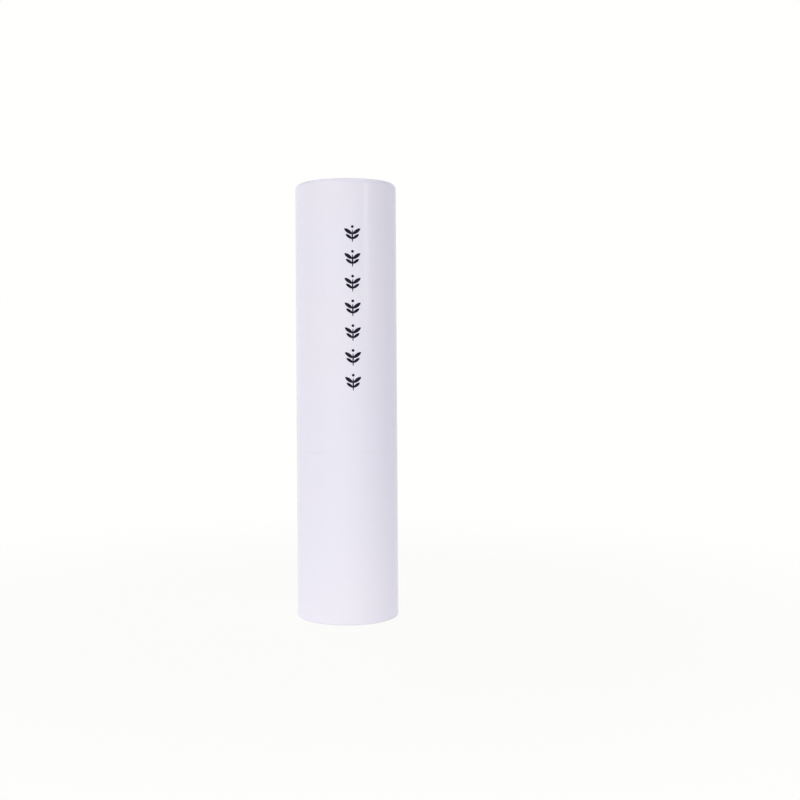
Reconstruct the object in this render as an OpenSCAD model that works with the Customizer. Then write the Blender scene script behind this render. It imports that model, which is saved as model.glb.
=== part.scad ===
// Twist-up lip balm stick: a flush round case whose base turns against the collar under its cap.
// The printed side of the cap faces -Y, and the origin is the centre of the underside.

/* [Case] */
// Height of the closed stick
total_h = 73; // [66:0.5:90]
// Outside diameter of cap and base
case_d = 17.1; // [16:0.1:24]
// Height of the base, up to the seam under the cap
base_h = 28; // [22:0.5:34]
// Wall of the two outer shells
case_wall = 0.95; // [0.8:0.05:1.2]
// Thickness of the cap's flat top
cap_top = 1.3; // [0.9:0.1:2]
// Radius of the cap's upper rim
rim_r = 0.9; // [0.4:0.1:1.2]
// Thickness of the base's floor
base_floor = 1.2; // [0.8:0.1:2]
// Radius of the base's lower edge
foot_r = 0.3; // [0.1:0.05:0.6]
// Radius of the two edges that meet at the seam
seam_r = 0.05; // [0.03:0.01:0.2]

/* [Liners] */
// Wall of the cap's liner
cap_liner_wall = 0.53; // [0.4:0.01:0.8]
// Thickness of the cap liner's closed end
cap_liner_top = 0.7; // [0.5:0.1:1.2]
// Height of the neck that stands out of the base into the cap
neck_h = 2.5; // [1.5:0.1:4]
// Radius of the neck's upper edge
neck_edge_r = 0.2; // [0.1:0.05:0.25]
// Number of grip ribs inside the cap's liner
grip_count = 6; // [3:1:12]
// Height that a grip rib stands in from the liner
grip_rise = 0.15; // [0.1:0.01:0.3]
// Width of a grip rib
grip_w = 0.7; // [0.4:0.1:1.2]
// Length of a grip rib
grip_length = 11; // [6:0.5:12]
// Length of the ramp at each end of a grip rib
grip_ramp = 1.5; // [0.8:0.1:2.5]

/* [Base weight] */
// Height of the steel disc
weight_h = 2.2; // [1.2:0.1:3]
// Chamfer round the disc's two edges
weight_chamfer = 0.25; // [0.1:0.05:0.5]

/* [Fork tube] */
// Wall of the slotted tube
fork_wall = 0.5; // [0.4:0.05:0.7]
// Thickness of the tube's floor
fork_floor = 0.8; // [0.6:0.1:1.2]
// Chamfer inside the tube's upper end
fork_chamfer = 0.2; // [0.1:0.05:0.3]
// Height of the hub that the base liner holds
hub_h = 8.8; // [6.5:0.1:10]
// Wall of the hub's skirt and of its top
hub_wall = 0.7; // [0.5:0.05:0.9]
// Number of webs between tube and skirt
hub_webs = 6; // [3:1:10]
// Number of splines round the hub
spline_count = 12; // [6:1:20]
// Width of a spline
spline_w = 0.8; // [0.5:0.1:1.2]
// Height of a spline
spline_rise = 0.25; // [0.15:0.05:0.35]
// Distance of the webs' and splines' ends from the hub's
rib_inset = 0.3; // [0.2:0.05:0.6]
// Height of the snap bead above the lower end of the spiral sleeve
bead_foot = 0.4; // [0.3:0.1:0.8]
// Height of the snap bead
bead_h = 0.5; // [0.4:0.1:0.7]
// Height that the snap bead stands out from the tube
bead_rise = 0.25; // [0.15:0.05:0.3]
// Length of plain tube between the bead and the slots
slot_foot = 0.75; // [0.5:0.05:1.5]
// Width of the two upright slots
slot_w = 1.7; // [1.5:0.1:2.4]
// Length of closed tube above the slots
fork_head = 7.05; // [4:0.05:9]

/* [Collar and spiral sleeve] */
// Wall of the collar
collar_wall = 0.5; // [0.4:0.05:0.7]
// Radius of the collar's upper edge
collar_edge_r = 0.4; // [0.2:0.05:0.45]
// Wall of the spiral sleeve
spiral_wall = 0.88; // [0.75:0.01:1.1]
// Depth of a helical groove
groove_depth = 0.6; // [0.5:0.01:0.68]
// Rise of the grooves in one full turn
lead = 15; // [12:0.5:20]

/* [Cup and balm] */
// Wall of the cup
cup_wall = 0.43; // [0.35:0.01:0.6]
// Thickness of the cup's floor
cup_floor = 0.8; // [0.6:0.1:1.2]
// Height of the cup's wall above the middle of its lugs
cup_cover = 1.6; // [1.2:0.1:2.5]
// Number of ribs that key the balm in the cup
key_count = 4; // [2:1:8]
// Width of a key rib, and its height from the cup's wall
key_w = 0.4; // [0.3:0.05:0.6]
// Height that the lowered tip shows above the collar
tip_show = 0.3; // [0.1:0.1:1]
// Slope of the tip's slanted face, in degrees
tip_angle = 36; // [20:1:45]
// Radius of the tip's round edge
tip_r = 1.5; // [0.6:0.1:2.5]

/* [Fits] */
// Glue line between two pieces that are fixed in each other
glue_gap = 0.02; // [0.01:0.01:0.05]
// Radial clearance of the pieces that turn or slide in each other
run_gap = 0.05; // [0.03:0.01:0.08]
// Radial clearance of the collar in the base's neck, and of the weight in its seat
collar_gap = 0.1; // [0.06:0.01:0.15]
// Radial clearance of the neck in the cap, and of the snap bead in its groove
neck_gap = 0.08; // [0.05:0.01:0.12]
// Clearance of a lug in its slot and its groove
lug_gap = 0.15; // [0.1:0.01:0.25]
// End clearance of the pieces that turn on each other
turn_gap = 0.2; // [0.1:0.05:0.4]
// Clearance between the neck and the cap's liner
liner_gap = 0.3; // [0.2:0.1:1]
// Clearance of the lowered cup above the tube's floor
cup_gap = 0.5; // [0.2:0.1:1.5]
// Clearance of the balm in the collar's mouth
mouth_gap = 0.6; // [0.5:0.05:0.7]
// Clearance of the raised tip under the cap's liner
tip_gap = 1.2; // [0.6:0.1:2]

/* [Hidden] */
$fn = 96;

// Length by which every cut runs past what it cuts
overrun = 0.2;
// Part of the balm's radius at which the slanted face starts behind its axis
tip_share = 0.3;
// Flat steps round a helical groove's floor, and steps along it for each turn
groove_facets = 6;
groove_steps = 36;

// Radii, from the outside in
case_r = case_d / 2;
bore_r = case_r - case_wall;
liner_r = bore_r - glue_gap;
neck_r = bore_r - neck_gap;
cap_liner_bore_r = liner_r - cap_liner_wall;
grip_r = cap_liner_bore_r - grip_rise;
collar_r = grip_r - run_gap;
neck_bore_r = collar_r + collar_gap;
hub_r = collar_r - spline_rise;
hub_bore_r = hub_r + glue_gap;
weight_r = hub_bore_r - collar_gap;
collar_bore_r = collar_r - collar_wall;
spiral_r = collar_bore_r - glue_gap;
spiral_bore_r = spiral_r - spiral_wall;
groove_r = spiral_bore_r + groove_depth;
fork_r = spiral_bore_r - run_gap;
fork_bore_r = fork_r - fork_wall;
bead_r = fork_r + bead_rise;
lug_reach_r = groove_r - lug_gap;
cup_r = fork_bore_r - run_gap;
cup_bore_r = cup_r - cup_wall;
balm_r = cup_bore_r - glue_gap;
mouth_r = balm_r + mouth_gap;

// Heights, from the floor up
fork_z = base_floor + weight_h;
cup_z = fork_z + fork_floor + cup_gap;
hub_top_z = fork_z + hub_h;
sleeve_z = hub_top_z + turn_gap;
bead_z = sleeve_z + bead_foot;
slot_z = bead_z + bead_h + slot_foot;
lug_z = slot_z + slot_w / 2;
neck_top_z = base_h + neck_h;
liner_z = neck_top_z + liner_gap;
ceiling_z = total_h - cap_top - cap_liner_top;

// The balm rises by half of what the cap leaves above its lugs and the collar's mouth
mouth_stack = slot_w / 2 + fork_head + turn_gap + collar_wall + tip_show;
lift = (ceiling_z - tip_gap - mouth_stack - lug_z) / 2;
slot_length = lift + slot_w;
fork_top_z = slot_z + slot_length + fork_head;
spiral_top_z = fork_top_z + turn_gap;
collar_top_z = spiral_top_z + collar_wall;
balm_top_z = collar_top_z + tip_show;

// A groove is as wide as a slot, measured square to its sides at half its depth
groove_mid_r = spiral_bore_r + groove_depth / 2;
groove_rise_angle = atan(lead / (2 * PI * groove_mid_r));
groove_half_angle = slot_w / 2 / sin(groove_rise_angle) / groove_mid_r * 180 / PI;

// Part of a revolve's outline between two radii and two heights
module band(inner, outer, low, high) {
    translate([inner, low]) square([outer - inner, high - low]);
}

// Cut that rounds the outer corner of an outline, at its upper or its lower end
module round_cut(outer, z, r, upper = true) {
    translate([outer - r, upper ? z - r : z + r]) rotate(upper ? 0 : -90) difference() {
        square(r + overrun);
        circle(r);
    }
}

// Straight rib or groove along the axis, square in section, repeated round the axis
module ribs(count, inner, outer, w, low, high) {
    for (i = [0 : count - 1]) rotate(i * 360 / count)
        translate([inner, -w / 2, low]) cube([outer - inner, w, high - low]);
}

// Section of one groove across the axis, from inside the sleeve's bore to the groove's floor
module groove_section() {
    inner = spiral_bore_r - overrun;
    step = 2 * groove_half_angle / groove_facets;
    outer_points = [for (i = [0 : groove_facets])
        let (a = i * step - groove_half_angle) groove_r * [cos(a), sin(a)]];
    inner_points = [for (a = [groove_half_angle, 0, -groove_half_angle]) inner * [cos(a), sin(a)]];
    polygon(concat(outer_points, inner_points));
}

// The two helical grooves, which start at the lowered lugs and rise clockwise seen from above
module grooves() {
    start_angle = 360 * (lug_z - slot_z) / lead;
    turns = slot_length / lead;
    translate([0, 0, slot_z]) rotate(start_angle)
        linear_extrude(slot_length, twist = 360 * turns, slices = ceil(groove_steps * turns),
            segments = 0)
            for (side = [0, 180]) rotate(side) groove_section();
}

// Upright slot with round ends, cut right through the tube
module slots() {
    rotate([90, 0, 90]) linear_extrude(2 * (fork_r + overrun), center = true) {
        translate([-slot_w / 2, lug_z]) square([slot_w, lift]);
        for (z = [lug_z, lug_z + lift]) translate([0, z]) circle(slot_w / 2);
    }
}

module cap_shell() {
    color("white") rotate_extrude() difference() {
        band(0, case_r, base_h, total_h);
        band(0, bore_r, base_h - overrun, total_h - cap_top);
        round_cut(case_r, total_h, rim_r);
        round_cut(case_r, base_h, seam_r, upper = false);
    }
}

module cap_liner() {
    root_r = cap_liner_bore_r + cap_liner_wall / 2;
    grip_z = liner_z + grip_ramp;
    color("white") {
        rotate_extrude() difference() {
            band(0, liner_r, liner_z, total_h - cap_top);
            band(0, cap_liner_bore_r, liner_z - overrun, ceiling_z);
        }
        for (i = [0 : grip_count - 1]) rotate([90, 0, i * 360 / grip_count])
            linear_extrude(grip_w, center = true) polygon([
                [root_r, grip_z], [cap_liner_bore_r, grip_z], [grip_r, grip_z + grip_ramp],
                [grip_r, grip_z + grip_length - grip_ramp],
                [cap_liner_bore_r, grip_z + grip_length], [root_r, grip_z + grip_length]]);
    }
}

module base_shell() {
    color("white") rotate_extrude() difference() {
        band(0, case_r, 0, base_h);
        band(0, bore_r, base_floor, base_h + overrun);
        round_cut(case_r, 0, foot_r, upper = false);
        round_cut(case_r, base_h, seam_r);
    }
}

module base_liner() {
    color("white") difference() {
        rotate_extrude() difference() {
            union() {
                band(hub_bore_r, liner_r, base_floor, base_h - turn_gap);
                band(hub_bore_r, neck_r, base_floor, neck_top_z);
            }
            band(hub_bore_r - overrun, neck_bore_r, hub_top_z, neck_top_z + overrun);
            round_cut(neck_r, neck_top_z, neck_edge_r);
        }
        ribs(spline_count, hub_bore_r - overrun, hub_bore_r + spline_rise, spline_w + 2 * glue_gap,
            base_floor - overrun, hub_top_z + overrun);
    }
}

module base_weight() {
    edge_r = weight_r - weight_chamfer;
    color("silver") rotate_extrude() polygon([
        [0, base_floor], [edge_r, base_floor], [weight_r, base_floor + weight_chamfer],
        [weight_r, fork_z - weight_chamfer], [edge_r, fork_z], [0, fork_z]]);
}

module fork_tube() {
    skirt_r = hub_r - hub_wall;
    bead_root_r = fork_r - fork_wall / 2;
    web_top_z = hub_top_z - hub_wall / 2;
    chamfer_cut = fork_chamfer + overrun;
    color("ivory") difference() {
        union() {
            rotate_extrude() {
                band(fork_bore_r, fork_r, fork_z, fork_top_z);
                band(0, fork_r, fork_z, fork_z + fork_floor);
                band(skirt_r, hub_r, fork_z, hub_top_z);
                band(bead_root_r, hub_r, hub_top_z - hub_wall, hub_top_z);
                polygon([[bead_root_r, bead_z], [fork_r, bead_z], [bead_r, bead_z + bead_h / 4],
                    [bead_r, bead_z + bead_h / 2], [fork_r, bead_z + bead_h],
                    [bead_root_r, bead_z + bead_h]]);
            }
            ribs(hub_webs, bead_root_r, skirt_r + hub_wall / 2, hub_wall, fork_z + rib_inset, web_top_z);
            ribs(spline_count, hub_r - hub_wall / 2, hub_r + spline_rise, spline_w,
                fork_z + rib_inset, hub_top_z - rib_inset);
        }
        slots();
        translate([0, 0, fork_top_z - fork_chamfer])
            cylinder(chamfer_cut, fork_bore_r, fork_bore_r + chamfer_cut);
    }
}

module collar_sleeve() {
    color("silver") rotate_extrude() difference() {
        band(mouth_r, collar_r, sleeve_z, collar_top_z);
        band(mouth_r - overrun, collar_bore_r, sleeve_z - overrun, spiral_top_z);
        round_cut(collar_r, collar_top_z, collar_edge_r);
    }
}

module spiral_sleeve() {
    color("white") difference() {
        rotate_extrude() difference() {
            band(spiral_bore_r, spiral_r, sleeve_z, spiral_top_z);
            band(spiral_bore_r - overrun, bead_r + neck_gap,
                bead_z - collar_gap, bead_z + bead_h + collar_gap);
        }
        grooves();
    }
}

module balm_cup() {
    root_r = cup_r - cup_wall / 2;
    top_z = lug_z + cup_cover;
    color("ivory") {
        rotate_extrude() difference() {
            band(0, cup_r, cup_z, top_z);
            band(0, cup_bore_r, cup_z + cup_floor, top_z + overrun);
        }
        ribs(key_count, cup_bore_r - key_w, root_r, key_w, cup_z + cup_floor / 2, lug_z);
        for (side = [0, 180]) rotate([0, 90, side]) translate([-lug_z, 0, root_r])
            cylinder(lug_reach_r - root_r, r = slot_w / 2 - lug_gap);
    }
}

module balm() {
    slope = 2 * case_r;
    color("oldlace") difference() {
        rotate_extrude() difference() {
            band(0, balm_r, cup_z + cup_floor, balm_top_z);
            round_cut(balm_r, balm_top_z, tip_r);
        }
        ribs(key_count, cup_bore_r - key_w - glue_gap, balm_r + overrun, key_w + 2 * glue_gap,
            cup_z + cup_floor - overrun, lug_z + glue_gap);
        translate([0, balm_r * tip_share, balm_top_z]) rotate([tip_angle, 0, 0])
            translate([-slope / 2, -slope, 0]) cube(slope);
    }
}

cap_shell();
cap_liner();
base_shell();
base_liner();
base_weight();
fork_tube();
collar_sleeve();
spiral_sleeve();
balm_cup();
balm();
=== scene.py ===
import math

import bpy
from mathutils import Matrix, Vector


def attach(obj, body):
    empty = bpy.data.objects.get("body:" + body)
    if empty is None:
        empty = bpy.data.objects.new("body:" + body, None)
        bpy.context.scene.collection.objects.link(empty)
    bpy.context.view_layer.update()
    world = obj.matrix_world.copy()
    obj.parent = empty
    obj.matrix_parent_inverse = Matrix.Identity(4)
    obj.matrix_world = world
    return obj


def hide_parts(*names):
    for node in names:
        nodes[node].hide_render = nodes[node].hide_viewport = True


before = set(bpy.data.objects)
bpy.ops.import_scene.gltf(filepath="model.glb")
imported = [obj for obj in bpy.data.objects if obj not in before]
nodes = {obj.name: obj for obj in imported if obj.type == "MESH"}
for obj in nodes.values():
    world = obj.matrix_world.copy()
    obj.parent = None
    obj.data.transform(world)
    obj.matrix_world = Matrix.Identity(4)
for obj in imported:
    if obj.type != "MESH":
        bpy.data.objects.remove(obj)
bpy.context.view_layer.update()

# Twist-up lip balm stick. Lengths are in metres, and the printed side of the cap faces -Y.
mm = 0.001
near = 0.02 * mm  # points closer than this count as one place
levelShare = 0.999  # a face is level when at least this much of its normal is upright
smoothAngle = 32  # degrees, the sharpest edge that is shaded smooth
scene = bpy.context.scene


def nodeReach(name, axis, end):
    # a CAD node's least or greatest X, Y or Z, for axis 0, 1 or 2, to the nearest micrometre
    return round(end(corner[axis] for corner in nodes[name].bound_box), 6)


def clearSelection():
    bpy.ops.object.select_all(action="DESELECT")


def workOn(piece):
    # makes a piece the active one, and the only one selected
    clearSelection()
    piece.select_set(True)
    bpy.context.view_layer.objects.active = piece


def editWith(piece, pointTest=None, edgeTest=None, faceTest=None):
    # goes into edit mode with only the points, edges or faces that pass the one test selected
    workOn(piece)
    mesh = piece.data
    bpy.context.tool_settings.mesh_select_mode = (bool(pointTest), bool(edgeTest), bool(faceTest))
    for part in (mesh.vertices, mesh.edges, mesh.polygons):
        part.foreach_set("select", [False] * len(part))
    if pointTest:
        for vertex in mesh.vertices:
            vertex.select = pointTest(vertex.co)
    elif edgeTest:
        for edge in mesh.edges:
            edge.select = edgeTest(*[mesh.vertices[end].co for end in edge.vertices])
    else:
        for face in mesh.polygons:
            face.select = faceTest(face)
    bpy.ops.object.mode_set(mode="EDIT")


def endEditing():
    bpy.ops.object.mode_set(mode="OBJECT")


def applyPlace():
    bpy.ops.object.transform_apply(location=True, rotation=True, scale=True)


def startCylinder(name, radius, low, high, sides):
    clearSelection()
    bpy.ops.mesh.primitive_cylinder_add(
        vertices=sides, radius=radius, depth=high - low, location=(0, 0, (low + high) / 2))
    piece = bpy.context.object
    piece.name = piece.data.name = name
    applyPlace()
    return piece


def boreOut(piece, up, wall, depth):
    # insets the end face on the side given by up, 1 or -1, and sinks it into the cylinder
    editWith(piece, faceTest=lambda face: face.normal.z * up > levelShare)
    bpy.ops.mesh.inset(thickness=wall, depth=0)
    bpy.ops.mesh.extrude_region_move(TRANSFORM_OT_translate={"value": (0, 0, -up * depth)})
    endEditing()


def roundRing(piece, radius, height, rounding):
    # bevels the ring of edges at one radius and height
    offset, steps = rounding

    def onRing(point):
        return abs(point.z - height) < near and abs(math.hypot(point.x, point.y) - radius) < near

    editWith(piece, edgeTest=lambda start, end: onRing(start) and onRing(end))
    bpy.ops.mesh.bevel(offset=offset, segments=steps, affect="EDGES", clamp_overlap=False)
    endEditing()


def steadyFlat(piece, up, margin):
    # a narrow border inside a flat end keeps the shading of the round edge off it
    outermost = max(vertex.co.z * up for vertex in piece.data.vertices)
    editWith(piece, faceTest=lambda face: face.normal.z * up > levelShare
             and abs(face.center.z * up - outermost) < near)
    bpy.ops.mesh.inset(thickness=margin, depth=0)
    endEditing()


def holdShading(piece, *heights):
    # level cuts beside the round edges keep the tall walls' shading straight
    for height in heights:
        editWith(piece, faceTest=lambda face: True)
        bpy.ops.mesh.bisect(plane_co=(0, 0, height), plane_no=(0, 0, 1))
        endEditing()


def smoothPiece(piece):
    workOn(piece)
    bpy.ops.object.shade_smooth_by_angle(angle=math.radians(smoothAngle))


def seatPiece(piece, body, slot, *replaced):
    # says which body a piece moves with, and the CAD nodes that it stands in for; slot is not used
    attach(piece, body)
    if replaced:
        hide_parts(*replaced)


# Materials
noiseRange = (0.3, 0.7)  # most of a noise texture lies between these


def startMaterial(name):
    material = bpy.data.materials.new(name)
    material.use_nodes = True
    return material, material.node_tree, material.node_tree.nodes["Principled BSDF"]


def addNode(tree, kind, inputs=None, **settings):
    node = tree.nodes.new(kind)
    for key, value in settings.items():
        setattr(node, key, value)
    for key, value in (inputs or {}).items():
        if isinstance(value, bpy.types.NodeSocket):
            tree.links.new(value, node.inputs[key])
        else:
            node.inputs[key].default_value = value
    return node


def objectPlace(tree, stretch=(1, 1, 1)):
    place = addNode(tree, "ShaderNodeTexCoord").outputs["Object"]
    return addNode(tree, "ShaderNodeMapping", {"Vector": place, "Scale": stretch}).outputs["Vector"]


def noise(tree, place, grain, detail=2.0):
    # grain is the size of one blotch in metres
    return addNode(tree, "ShaderNodeTexNoise", {
        "Vector": place, "Scale": 1 / grain, "Detail": detail}).outputs["Fac"]


def spread(tree, value, low, high):
    # stretches noise until it runs from low to high
    return addNode(tree, "ShaderNodeMapRange", {
        "Value": value, "From Min": noiseRange[0], "From Max": noiseRange[1],
        "To Min": low, "To Max": high}).outputs["Result"]


def asColour(colour):
    # a colour socket stays as it is, and three numbers get their alpha
    return colour if isinstance(colour, bpy.types.NodeSocket) else (*colour, 1)


def blend(tree, share, first, second):
    # a Mix node takes its colours in sockets 6 and 7, and gives their blend in socket 2
    mix = addNode(tree, "ShaderNodeMix", {0: share, 6: asColour(first), 7: asColour(second)},
                  data_type="RGBA")
    return mix.outputs[2]


def relief(tree, height, depth):
    return addNode(tree, "ShaderNodeBump", {"Height": height, "Distance": depth}).outputs["Normal"]


# each finish drifts between its colour and its tint, and its roughness between the two of gloss
mouldedPlastics = {
    # satin white case with a cool tint
    "casePlastic": {
        "colour": (0.796, 0.784, 0.892), "tint": (0.810, 0.784, 0.884), "tintSize": 22 * mm,
        "gloss": (0.14, 0.18), "glossSize": 4 * mm, "grain": 0.35 * mm, "grainDepth": 0.0008 * mm,
        "ior": 1.5},
    "linerPlastic": {
        "colour": (0.80, 0.80, 0.83), "tint": (0.77, 0.77, 0.80), "tintSize": 9 * mm,
        "gloss": (0.30, 0.40), "glossSize": 4 * mm, "grain": 0.25 * mm, "grainDepth": 0.002 * mm,
        "ior": 1.49},
    # natural white, for the fork tube and the spiral sleeve
    "worksPlastic": {
        "colour": (0.78, 0.77, 0.72), "tint": (0.73, 0.72, 0.67), "tintSize": 7 * mm,
        "gloss": (0.42, 0.52), "glossSize": 4 * mm, "grain": 0.3 * mm, "grainDepth": 0.004 * mm,
        "ior": 1.48},
    "cupPlastic": {
        "colour": (0.79, 0.79, 0.79), "tint": (0.74, 0.74, 0.75), "tintSize": 6 * mm,
        "gloss": (0.38, 0.48), "glossSize": 4 * mm, "grain": 0.25 * mm, "grainDepth": 0.003 * mm,
        "ior": 1.49},
}


def mouldedPlastic(name):
    want = mouldedPlastics[name]
    material, tree, shader = startMaterial(name)
    place = objectPlace(tree)
    cloud = noise(tree, place, want["tintSize"], detail=1.0)
    shade = blend(tree, spread(tree, cloud, 0, 1), want["colour"], want["tint"])
    tree.links.new(shade, shader.inputs["Base Color"])
    sheen = spread(tree, noise(tree, place, want["glossSize"], detail=3.0), *want["gloss"])
    tree.links.new(sheen, shader.inputs["Roughness"])
    skin = relief(tree, noise(tree, place, want["grain"]), want["grainDepth"])
    tree.links.new(skin, shader.inputs["Normal"])
    shader.inputs["IOR"].default_value = want["ior"]
    return material


# across says how fast the fine rings change across the axis, next to how fast they change along it
turnedMetals = {
    # anodised collar, with fine rings from its turning
    "collarMetal": {
        "colour": (0.66, 0.66, 0.68), "shade": (0.63, 0.63, 0.65), "patch": 8 * mm,
        "gloss": (0.25, 0.31), "ringPitch": 0.07 * mm, "ringDepth": 0.0006 * mm, "across": 0.02},
    "weightSteel": {
        "colour": (0.52, 0.52, 0.53), "shade": (0.40, 0.40, 0.41), "patch": 3 * mm,
        "gloss": (0.30, 0.46), "ringPitch": 0.3 * mm, "ringDepth": 0.003 * mm, "across": 0.02},
}


def turnedMetal(name):
    want = turnedMetals[name]
    material, tree, shader = startMaterial(name)
    place = objectPlace(tree)
    drawnOut = objectPlace(tree, (want["across"], want["across"], 1))
    rings = noise(tree, drawnOut, want["ringPitch"], detail=3.0)
    patches = noise(tree, place, want["patch"])
    shade = blend(tree, spread(tree, patches, 0, 1), want["colour"], want["shade"])
    tree.links.new(shade, shader.inputs["Base Color"])
    tree.links.new(spread(tree, rings, *want["gloss"]), shader.inputs["Roughness"])
    tree.links.new(relief(tree, rings, want["ringDepth"]), shader.inputs["Normal"])
    shader.inputs["Metallic"].default_value = 1.0
    return material


waxLook = {
    "colour": (0.83, 0.74, 0.55), "tint": (0.80, 0.69, 0.48), "cloudSize": 3 * mm,
    "gloss": (0.30, 0.42), "glossSize": 1.2 * mm, "pitSize": 0.5 * mm, "pitDepth": 0.01 * mm,
    "ior": 1.44, "softness": 0.12, "softReach": (2.0 * mm, 1.3 * mm, 0.7 * mm), "softScale": 1.0,
}


def balmWax():
    material, tree, shader = startMaterial("balmWax")
    place = objectPlace(tree)
    cloud = noise(tree, place, waxLook["cloudSize"], detail=4.0)
    tree.links.new(blend(tree, spread(tree, cloud, 0, 1), waxLook["colour"], waxLook["tint"]),
                   shader.inputs["Base Color"])
    sheen = spread(tree, noise(tree, place, waxLook["glossSize"]), *waxLook["gloss"])
    tree.links.new(sheen, shader.inputs["Roughness"])
    pits = noise(tree, place, waxLook["pitSize"], detail=3.0)
    tree.links.new(relief(tree, pits, waxLook["pitDepth"]), shader.inputs["Normal"])
    shader.inputs["IOR"].default_value = waxLook["ior"]
    shader.inputs["Subsurface Weight"].default_value = waxLook["softness"]
    shader.inputs["Subsurface Radius"].default_value = waxLook["softReach"]
    shader.inputs["Subsurface Scale"].default_value = waxLook["softScale"]
    return material


inkLook = {
    "colour": (0.008, 0.007, 0.019), "worn": (0.016, 0.014, 0.032), "gloss": (0.45, 0.55),
    "speckle": 0.12 * mm, "speckleDepth": 0.002 * mm, "ior": 1.3, "shine": 0.2,
}


def printInk():
    material, tree, shader = startMaterial("printInk")
    place = objectPlace(tree)
    speckle = noise(tree, place, inkLook["speckle"], detail=3.0)
    tree.links.new(blend(tree, spread(tree, speckle, 0, 1), inkLook["colour"], inkLook["worn"]),
                   shader.inputs["Base Color"])
    tree.links.new(spread(tree, speckle, *inkLook["gloss"]), shader.inputs["Roughness"])
    tree.links.new(relief(tree, speckle, inkLook["speckleDepth"]), shader.inputs["Normal"])
    shader.inputs["IOR"].default_value = inkLook["ior"]
    shader.inputs["Specular IOR Level"].default_value = inkLook["shine"]
    return material


finishes = {name: mouldedPlastic(name) for name in mouldedPlastics}
finishes.update({name: turnedMetal(name) for name in turnedMetals})
finishes["balmWax"] = balmWax()
finishes["printInk"] = printInk()


def dress(piece, finish):
    if piece.material_slots:
        for slot in piece.material_slots:
            slot.material = finishes[finish]
    else:
        piece.data.materials.append(finishes[finish])


nodeFinishes = {
    "cap_liner": "linerPlastic", "base_liner": "linerPlastic", "base_weight": "weightSteel",
    "fork_tube": "worksPlastic", "collar_sleeve": "collarMetal", "spiral_sleeve": "worksPlastic",
    "balm_cup": "cupPlastic", "balm": "balmWax",
}
for nodeName, finish in nodeFinishes.items():
    dress(nodes[nodeName], finish)
print("materials ready")

# Outer shells of cap and base
caseSizes = {
    "radius": nodeReach("cap_shell", 0, max), "seam": nodeReach("cap_shell", 2, min),
    "height": nodeReach("cap_shell", 2, max), "wall": 0.95 * mm, "capTop": 1.3 * mm,
    "baseFloor": 1.2 * mm, "sides": 192,
    # radius of each rounded edge, and the steps that it is rounded in
    "rim": (0.9 * mm, 12), "foot": (0.3 * mm, 6),
    "seamEdge": (0.02 * mm, 3), "innerEdge": (0.05 * mm, 2),
    # border inside a flat end, and distance of the level cuts from a round edge
    "flatMargin": 0.25 * mm, "holdBand": 0.2 * mm,
}


def roundMouth(piece):
    # cap and base meet at the seam with the same fine edges, outside and inside
    size = caseSizes
    roundRing(piece, size["radius"], size["seam"], size["seamEdge"])
    roundRing(piece, size["radius"] - size["wall"], size["seam"], size["innerEdge"])


def makeCapShell():
    size = caseSizes
    band = size["holdBand"]
    piece = startCylinder("capShell", size["radius"], size["seam"], size["height"], size["sides"])
    boreOut(piece, -1, size["wall"], size["height"] - size["seam"] - size["capTop"])
    roundRing(piece, size["radius"], size["height"], size["rim"])
    roundMouth(piece)
    steadyFlat(piece, 1, size["flatMargin"])
    holdShading(piece, size["seam"] + band, size["height"] - size["rim"][0] - band,
                size["height"] - size["capTop"] - band)
    smoothPiece(piece)
    dress(piece, "casePlastic")
    seatPiece(piece, "cap", "case_plastic", "cap_shell")
    return piece


def makeBaseShell():
    size = caseSizes
    band = size["holdBand"]
    piece = startCylinder("baseShell", size["radius"], 0, size["seam"], size["sides"])
    boreOut(piece, 1, size["wall"], size["seam"] - size["baseFloor"])
    roundRing(piece, size["radius"], 0, size["foot"])
    roundMouth(piece)
    steadyFlat(piece, -1, size["flatMargin"])
    holdShading(piece, size["foot"][0] + band, size["seam"] - band)
    smoothPiece(piece)
    dress(piece, "casePlastic")
    seatPiece(piece, "base", "case_plastic", "base_shell")


capShell = makeCapShell()
makeBaseShell()
print("shells ready")

# Column of sprigs printed on the front of the cap
printSizes = {
    # the middles of the lowest and highest sprig, and the column's turn round the cap in degrees
    "count": 7, "lowest": 39.6 * mm, "highest": 63.8 * mm, "turn": 7.2,
    # each pair of leaves as length, width, distance from the stem and height on it, with the tilt
    # of all leaves in degrees
    "leafPairs": ((1.46 * mm, 0.57 * mm, 0.68 * mm, 0.42 * mm),
                  (1.20 * mm, 0.46 * mm, 0.56 * mm, -0.44 * mm)), "leafTilt": 36,
    # an oval's end points, past tipFrom of its half length, are drawn out to make a leaf
    "tipFrom": 0.99, "leafPoint": 1.14, "leafSides": 32,
    "stemWidth": 0.24 * mm, "stemLength": 2.1 * mm, "stemDrop": 0.32 * mm, "stemSides": 12,
    "budSize": 0.46 * mm, "budRise": 1.18 * mm, "budSides": 16,
    # ink's thickness, the flat sprigs' distance from the cap, and the strips that bend round it
    "ink": 0.02 * mm, "standOff": 1 * mm, "strip": 0.2 * mm, "reach": 1.6 * mm,
}


def flatShape(width, height, sides):
    # a flat oval that faces -Y, made from a circle one unit wide
    clearSelection()
    bpy.ops.mesh.primitive_circle_add(
        vertices=sides, radius=0.5, fill_type="NGON", rotation=(math.pi / 2, 0, 0))
    shape = bpy.context.object
    applyPlace()
    editWith(shape, edgeTest=lambda start, end: True)
    bpy.ops.transform.resize(value=(width, 1, height), center_override=(0, 0, 0))
    endEditing()
    return shape


def flatLeaf(length, width):
    leaf = flatShape(length, width, printSizes["leafSides"])
    tip = printSizes["tipFrom"] * length / 2
    editWith(leaf, pointTest=lambda point: abs(point.x) > tip)
    bpy.ops.transform.resize(value=(printSizes["leafPoint"], 1, 1), center_override=(0, 0, 0))
    endEditing()
    return leaf


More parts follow.
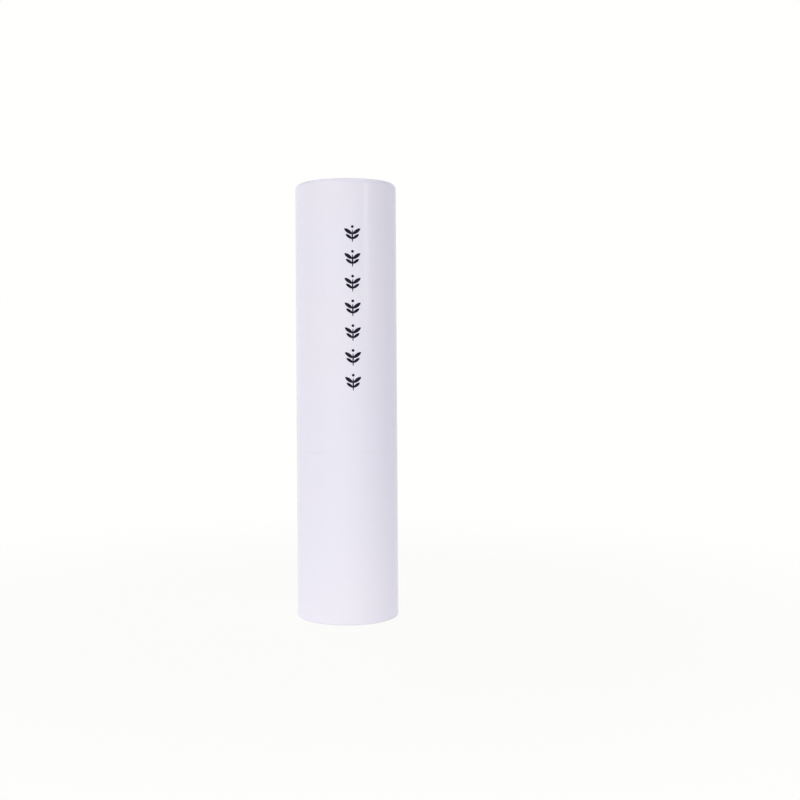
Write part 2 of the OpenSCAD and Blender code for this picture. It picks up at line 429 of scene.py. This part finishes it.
def placeShape(shape, across, height, tilt=0):
    # moves a flat shape to its place in front of the cap
    workOn(shape)
    shape.rotation_euler = (0, math.radians(tilt), 0)
    shape.location = (across, -caseSizes["radius"] - printSizes["standOff"], height)
    applyPlace()


def makeSprig(middle):
    size = printSizes
    shapes = []
    for length, width, out, rise in size["leafPairs"]:
        for side in (-1, 1):
            leaf = flatLeaf(length, width)
            placeShape(leaf, side * out, middle + rise, -side * size["leafTilt"])
            shapes.append(leaf)
    stem = flatShape(size["stemWidth"], size["stemLength"], size["stemSides"])
    placeShape(stem, 0, middle - size["stemDrop"])
    bud = flatShape(size["budSize"], size["budSize"], size["budSides"])
    placeShape(bud, 0, middle + size["budRise"])
    return shapes + [stem, bud]


def makePrint():
    # the sprigs are joined, pressed back onto the cap, given the ink's thickness and turned aside
    size = printSizes
    shapes = []
    pitch = (size["highest"] - size["lowest"]) / (size["count"] - 1)
    for step in range(size["count"]):
        shapes += makeSprig(size["lowest"] + step * pitch)
    clearSelection()
    for shape in shapes:
        shape.select_set(True)
    bpy.context.view_layer.objects.active = shapes[0]
    bpy.ops.object.join()
    piece = bpy.context.object
    piece.name = piece.data.name = "printMarks"
    # upright cuts let the flat shapes bend round the cap
    editWith(piece, faceTest=lambda face: True)
    cuts = round(2 * size["reach"] / size["strip"])
    for cut in range(cuts + 1):
        bpy.ops.mesh.select_all(action="SELECT")
        across = cut * size["strip"] - size["reach"]
        bpy.ops.mesh.bisect(plane_co=(across, 0, 0), plane_no=(1, 0, 0))
    endEditing()
    wrap = piece.modifiers.new("wrap", "SHRINKWRAP")
    wrap.target = capShell
    wrap.wrap_method = "PROJECT"
    wrap.use_project_y = True
    wrap.use_negative_direction = False
    wrap.use_positive_direction = True
    thick = piece.modifiers.new("thick", "SOLIDIFY")
    thick.thickness = size["ink"]
    thick.offset = 1  # outwards
    for modifier in ("wrap", "thick"):
        bpy.ops.object.modifier_apply(modifier=modifier)
    piece.rotation_euler = (0, 0, math.radians(size["turn"]))
    applyPlace()
    smoothPiece(piece)
    dress(piece, "printInk")
    seatPiece(piece, "cap", "print_ink")


makePrint()
print("print ready")

# Floor, background and lamps
stageLook = {
    # plain white covers whiteShare of the paper and its shadow up to shadowReach, and all of it
    # from whiteFrom
    "floorSize": 3.0, "floorColour": (0.85, 0.85, 0.85), "whiteShare": 0.9, "shadowReach": 40 * mm,
    "whiteFrom": 130 * mm,
    # backdrop and floor as the camera sees them and as reflections do, and the ceiling's grey
    "white": (1.0, 1.0, 0.985), "reflected": (0.9, 0.9, 0.9), "ceiling": (0.45, 0.45, 0.45),
    # where white ends and the ceiling starts, from 0 for level to 1 for straight up
    "whiteUpTo": 0.35, "ceilingFrom": 0.6,
    # strength and colour of the light that comes from all round
    "fill": 0.44, "fillTint": (0.96, 0.95, 1.0),
}
warm = (1.0, 0.985, 0.89)
cool = (0.92, 0.955, 1.0)
ringRadius = 0.45  # of the ring of lamps round the stick
# azimuth goes from the camera's side towards +X, aim is the height on the axis that a lamp faces,
# brightness is the panel's own, with 1 for white, and mirrored lamps show in reflections, where
# the wide low ones would burn out the stick's edges
lamps = {
    "overhead": {"azimuth": 0, "distance": 0, "height": 0.5, "aim": 0,
                 "size": (0.7, 0.7), "brightness": 0.62, "tint": cool, "mirrored": True},
    "frontWide": {"azimuth": -10, "distance": ringRadius, "height": 0.1, "aim": 0.1,
                  "size": (0.9, 0.2), "brightness": 0.8, "tint": warm, "mirrored": False},
    "edgeStrip": {"azimuth": 46, "distance": ringRadius, "height": 0.13, "aim": 0.13,
                  "size": (0.08, 0.14), "brightness": 1.62, "tint": cool, "mirrored": True},
    "sideLeft": {"azimuth": -90, "distance": ringRadius, "height": 0.1, "aim": 0.1,
                 "size": (0.52, 0.2), "brightness": 0.49, "tint": warm, "mirrored": False},
    "highLeft": {"azimuth": -45, "distance": ringRadius, "height": 0.325, "aim": 0.325,
                 "size": (0.373, 0.25), "brightness": 1.28, "tint": warm, "mirrored": True},
    "highFront": {"azimuth": 0, "distance": ringRadius, "height": 0.325, "aim": 0.325,
                  "size": (0.373, 0.25), "brightness": 0.33, "tint": warm, "mirrored": True},
    "bounceCard": {"azimuth": 0, "distance": 0.13, "height": 0.034, "aim": 0.124,
                   "size": (0.16, 0.08), "brightness": 0.69, "tint": warm, "mirrored": False},
    "backLeft": {"azimuth": -142.5, "distance": ringRadius, "height": 0.1, "aim": 0.1,
                 "size": (0.52, 0.2), "brightness": 2.4, "tint": cool, "mirrored": False},
    "backRight": {"azimuth": 142.5, "distance": ringRadius, "height": 0.1, "aim": 0.1,
                  "size": (0.52, 0.2), "brightness": 0.84, "tint": cool, "mirrored": False},
    # light that the paper gives back at the foot
    "footGlow": {"azimuth": 0, "distance": 0, "height": 0.02 * mm, "aim": 1,
                 "size": (0.08, 0.08), "brightness": 0.3, "tint": warm, "mirrored": False},
}


def shownRays(tree):
    # 1 for what the camera, a reflection or clear plastic shows, 0 for what lights the object
    path = addNode(tree, "ShaderNodeLightPath")
    shown = path.outputs["Is Camera Ray"]
    for kind in ("Is Glossy Ray", "Is Transmission Ray"):
        shown = addNode(tree, "ShaderNodeMath", {0: shown, 1: path.outputs[kind]},
                        operation="MAXIMUM").outputs[0]
    return shown


def shownWhite(tree):
    # white to the camera, and a little darker in reflections
    path = addNode(tree, "ShaderNodeLightPath")
    return blend(tree, path.outputs["Is Glossy Ray"], stageLook["white"], stageLook["reflected"])


def makeFloor():
    clearSelection()
    bpy.ops.mesh.primitive_plane_add(size=stageLook["floorSize"], location=(0, 0, 0))
    floor = bpy.context.object
    floor.name = "floor"
    material = bpy.data.materials.new("floorPaper")
    material.use_nodes = True
    tree = material.node_tree
    tree.nodes.clear()
    paper = addNode(tree, "ShaderNodeBsdfDiffuse", {"Color": asColour(stageLook["floorColour"])})
    white = addNode(tree, "ShaderNodeEmission", {"Color": shownWhite(tree), "Strength": 1.0})
    # the paper shows the stick's shadow near its foot and is plain white further out
    place = addNode(tree, "ShaderNodeTexCoord").outputs["Object"]
    away = addNode(tree, "ShaderNodeVectorMath", {0: place}, operation="LENGTH").outputs["Value"]
    whiteHere = addNode(tree, "ShaderNodeMapRange", {
        "Value": away, "From Min": stageLook["shadowReach"], "From Max": stageLook["whiteFrom"],
        "To Min": stageLook["whiteShare"], "To Max": 1.0}, interpolation_type="SMOOTHSTEP")
    share = addNode(tree, "ShaderNodeMath", {0: shownRays(tree), 1: whiteHere.outputs["Result"]},
                    operation="MULTIPLY")
    mix = addNode(tree, "ShaderNodeMixShader", {0: share.outputs[0], 1: paper.outputs[0],
                                                2: white.outputs[0]})
    addNode(tree, "ShaderNodeOutputMaterial", {"Surface": mix.outputs[0]})
    floor.data.materials.append(material)


def makeWorld():
    world = bpy.data.worlds.new("studio")
    scene.world = world
    world.use_nodes = True
    tree = world.node_tree
    tree.nodes.clear()
    # the backdrop is white to well above the stick, and the ceiling over it is grey
    up = addNode(tree, "ShaderNodeTexCoord").outputs["Generated"]
    height = addNode(tree, "ShaderNodeSeparateXYZ", {"Vector": up}).outputs["Z"]
    ceilingShare = addNode(tree, "ShaderNodeMapRange", {
        "Value": height, "From Min": stageLook["whiteUpTo"], "From Max": stageLook["ceilingFrom"],
        "To Min": 0.0, "To Max": 1.0}, interpolation_type="SMOOTHSTEP").outputs["Result"]
    backdrop = blend(tree, ceilingShare, shownWhite(tree), stageLook["ceiling"])
    fill = addNode(tree, "ShaderNodeBackground", {
        "Color": asColour(stageLook["fillTint"]), "Strength": stageLook["fill"]})
    white = addNode(tree, "ShaderNodeBackground", {"Color": backdrop, "Strength": 1.0})
    mix = addNode(tree, "ShaderNodeMixShader", {
        0: shownRays(tree), 1: fill.outputs[0], 2: white.outputs[0]})
    addNode(tree, "ShaderNodeOutputWorld", {"Surface": mix.outputs[0]})


def makeLamp(name, want):
    light = bpy.data.lights.new(name, "AREA")
    light.shape = "RECTANGLE"
    light.size, light.size_y = want["size"]
    light.color = want["tint"]
    # the power at which the panel looks as bright as it says
    light.energy = want["brightness"] * math.pi * light.size * light.size_y
    lamp = bpy.data.objects.new(name, light)
    scene.collection.objects.link(lamp)
    turn = math.radians(want["azimuth"])
    across, ahead = want["distance"] * math.sin(turn), want["distance"] * math.cos(turn)
    lamp.location = (across, -ahead, want["height"])
    facing = Vector((0, 0, want["aim"])) - lamp.location
    lamp.rotation_euler = facing.to_track_quat("-Z", "Y").to_euler()
    lamp.visible_camera = False
    lamp.visible_glossy = want["mirrored"]


makeFloor()
makeWorld()
for lampName, lampSettings in lamps.items():
    makeLamp(lampName, lampSettings)
print("stage ready")

# Camera, level with the upper half of the stick, with its lean in radians
cameraSetup = {
    "distance": 198 * mm, "height": 44.5 * mm, "lean": 0.0062, "sensor": 36.0, "clip": (0.01, 10),
    # in pixels: the picture's width, the focal length, and the point that the camera faces
    "picture": 800, "focal": 1163.8, "centreX": 346.5, "centreY": 352.4,
}


def makeCamera():
    want = cameraSetup
    data = bpy.data.cameras.new("camera")
    data.sensor_width = want["sensor"]
    data.lens = want["sensor"] * want["focal"] / want["picture"]
    data.shift_x = 0.5 - want["centreX"] / want["picture"]
    data.shift_y = want["centreY"] / want["picture"] - 0.5
    data.clip_start, data.clip_end = want["clip"]
    camera = bpy.data.objects.new("camera", data)
    scene.collection.objects.link(camera)
    camera.location = (0, -want["distance"], want["height"])
    camera.rotation_euler = (math.pi / 2, want["lean"], 0)
    scene.camera = camera


makeCamera()
scene.view_settings.view_transform = "Standard"
print("camera ready")
